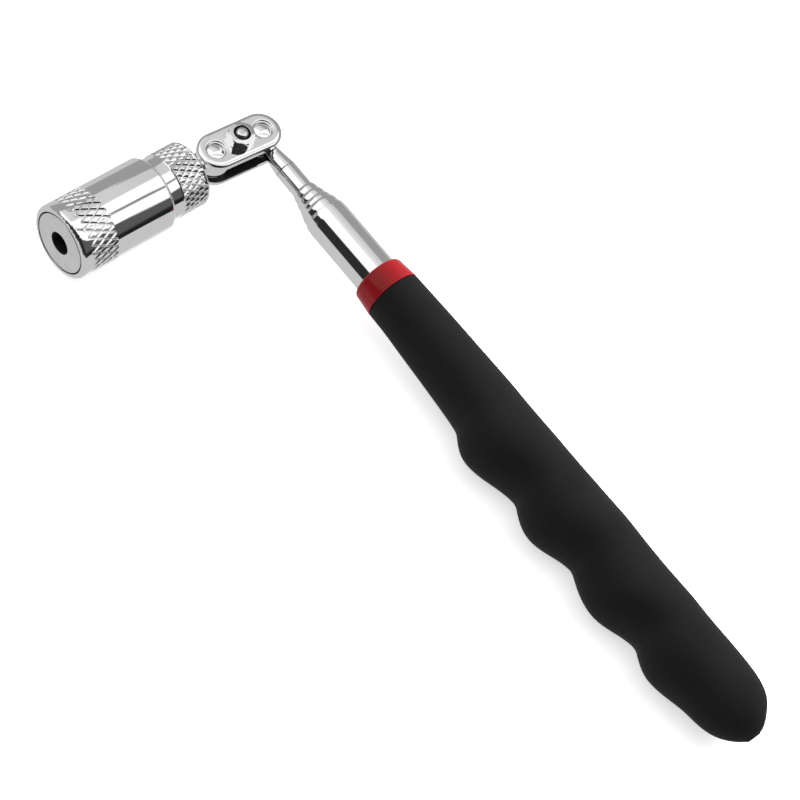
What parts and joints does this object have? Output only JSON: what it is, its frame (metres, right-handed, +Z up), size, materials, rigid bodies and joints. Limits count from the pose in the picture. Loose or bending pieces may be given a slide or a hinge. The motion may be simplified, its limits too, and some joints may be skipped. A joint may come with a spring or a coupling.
{
  "type": "magnetic pickup tool",
  "caption": "Telescoping magnetic pickup tool: lighted magnet head on a two-ball knuckle, nested chrome mast and a finger-bump grip.",
  "frame": {"origin": "centre of the bounding box's base, on the surface that the tool lies on", "axes": "+X along the mast from the knuckle to the end of the grip, +Z up, and the magnet's face looks along -Y"},
  "size_m": [0.176, 0.0604, 0.017],
  "materials": {
    "chrome": "polished",
    "zinc_steel": "satin",
    "nickel_magnet": "satin",
    "grip_rubber": "matte",
    "red_plastic": "gloss",
    "black_plastic": "matte",
    "seal_rubber": "satin",
    "clear_lens": "gloss",
    "steel_leads": "satin",
    "board": "satin",
    "brass": "satin",
    "spring_steel": "satin",
    "clear_film": "satin",
    "cell_steel": "satin"
  },
  "bodies": {
    "handle": {"grip": "grip_rubber", "collar_ring": "red_plastic", "outer_tube": "chrome", "tube_end_plug": "black_plastic"},
    "section_5": {"mast_tube_5": "chrome", "friction_sleeve_5": "brass"},
    "section_4": {"mast_tube_4": "chrome", "friction_sleeve_4": "brass"},
    "section_3": {"mast_tube_3": "chrome", "friction_sleeve_3": "brass"},
    "section_2": {"mast_tube_2": "chrome", "friction_sleeve_2": "brass"},
    "section_1": {"mast_tube_1": "chrome", "friction_sleeve_1": "brass"},
    "mast_stud": {"mast_ball_stud": "chrome"},
    "knuckle": {"knuckle_plate_upper": "chrome", "knuckle_plate_lower": "chrome", "clamp_screw": "zinc_steel", "clamp_nut": "zinc_steel"},
    "head_stud": {"head_ball_stud": "chrome"},
    "cap": {"rear_cap": "chrome", "contact_spring": "spring_steel", "o_ring": "seal_rubber"},
    "head": {"front_shell": "chrome", "ring_magnet": "nickel_magnet", "led_lens": "clear_lens", "led_leads": "steel_leads", "led_holder": "black_plastic", "led_board": "board", "front_contact": "brass", "battery_sleeve": "clear_film"},
    "battery": {"button_cell_1": "cell_steel", "button_cell_2": "cell_steel", "button_cell_3": "cell_steel"}
  },
  "joints": [
    {"name": "section_5_slide", "type": "slide", "parent": "handle", "child": "section_5", "axis": [-1, 0, 0], "range_m": [0, 0.123]},
    {"name": "section_4_slide", "type": "slide", "parent": "section_5", "child": "section_4", "axis": [-1, 0, 0], "range_m": [0, 0.123]},
    {"name": "section_3_slide", "type": "slide", "parent": "section_4", "child": "section_3", "axis": [-1, 0, 0], "range_m": [0, 0.123]},
    {"name": "section_2_slide", "type": "slide", "parent": "section_3", "child": "section_2", "axis": [-1, 0, 0], "range_m": [0, 0.123]},
    {"name": "section_1_slide", "type": "slide", "parent": "section_2", "child": "section_1", "axis": [-1, 0, 0], "range_m": [0, 0.123]},
    {"name": "mast_twist", "type": "hinge", "parent": "section_1", "child": "mast_stud", "pos_m": [-0.07859, 0.02343, 0.0085], "axis": [1, 0, 0], "continuous": true},
    {"name": "mast_swing", "type": "hinge", "parent": "mast_stud", "child": "knuckle", "pos_m": [-0.07859, 0.02343, 0.0085], "axis": [0, 0, 1], "range_deg": [-216, 44]},
    {"name": "head_swing", "type": "hinge", "parent": "knuckle", "child": "head_stud", "pos_m": [-0.07951, 0.01117, 0.0085], "axis": [0, 0, -1], "range_deg": [-80, 86]},
    {"name": "head_spin", "type": "hinge", "parent": "head_stud", "child": "cap", "pos_m": [-0.07951, 0.01117, 0.0085], "axis": [0, -1, 0], "continuous": true},
    {"name": "light_switch", "type": "hinge", "parent": "cap", "child": "head", "pos_m": [-0.07951, 0.01117, 0.0085], "axis": [0, -1, 0], "range_deg": [0, 180]},
    {"name": "battery_advance", "type": "slide", "parent": "head", "child": "battery", "axis": [0, -1, 0], "range_m": [0, 0.000376]}
  ],
  "couplings": [
    {"joint": "battery_advance", "follows": "light_switch", "m_per_rad": 0.00011937}
  ]
}
